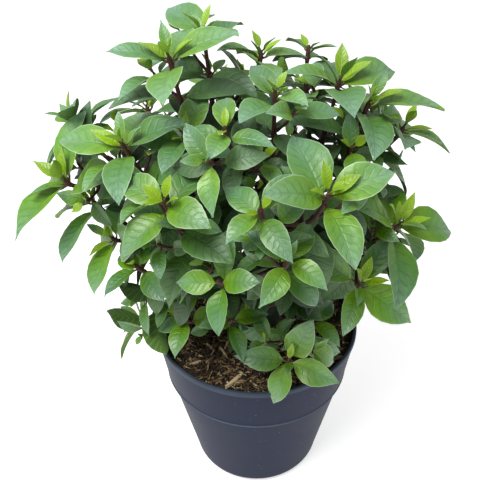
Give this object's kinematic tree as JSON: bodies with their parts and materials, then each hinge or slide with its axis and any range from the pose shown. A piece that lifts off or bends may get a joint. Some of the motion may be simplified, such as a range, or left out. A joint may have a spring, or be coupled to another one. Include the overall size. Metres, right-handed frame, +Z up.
{
  "type": "potted hydrangea shrub",
  "caption": "Young leafy hydrangea shrub without blooms, its woody canes rising from potting soil in a tapered nursery pot with a deep collar.",
  "frame": {"origin": "middle of the pot's flat underside, at ground level, on the pot's axis", "axes": "+Z up along the pot's axis, -Y towards the side that the picture shows, +X to the right in the picture"},
  "size_m": [0.4077, 0.3531, 0.5253],
  "materials": {
    "pot": "moulded blue-grey plastic, satin and a little scuffed",
    "soil": "damp bark compost with pale chips",
    "bark": "thin grey-brown bark, reddish on young stems",
    "foliage": "green leaves with a slight waxy sheen, brighter at the tips"
  },
  "bodies": {
    "root": {"bough_back_1": "bark", "bough_back_2": "bark", "bough_back_3": "bark", "bough_back_5": "bark", "bough_back_6": "bark", "bough_back_7": "bark", "bough_back_8": "bark", "bough_far_left": "bark", "bough_front": "bark", "bough_front_foot": "bark", "bough_front_high": "bark", "bough_front_low": "bark", "bough_left": "bark", "bough_left_foot": "bark", "bough_left_low": "bark", "bough_right_low": "bark", "cane_1": "bark", "cane_2": "bark", "cane_3": "bark", "cane_4": "bark", "cane_5": "bark", "cane_6": "bark", "cane_7": "bark", "foliage_back_1": "foliage", "foliage_back_2": "foliage", "foliage_back_3": "foliage", "foliage_back_4": "foliage", "foliage_back_5": "foliage", "foliage_back_6": "foliage", "foliage_back_7": "foliage", "foliage_back_8": "foliage", "foliage_far_left": "foliage", "foliage_front": "foliage", "foliage_front_foot": "foliage", "foliage_front_high": "foliage", "foliage_front_left": "foliage", "foliage_front_low": "foliage", "foliage_front_top": "foliage", "foliage_left": "foliage", "foliage_left_foot": "foliage", "foliage_left_low": "foliage", "foliage_right": "foliage", "foliage_right_low": "foliage", "foliage_top": "foliage", "foliage_top_left": "foliage", "foliage_top_right": "foliage", "pot": "pot", "soil": "soil"}
  },
  "joints": []
}
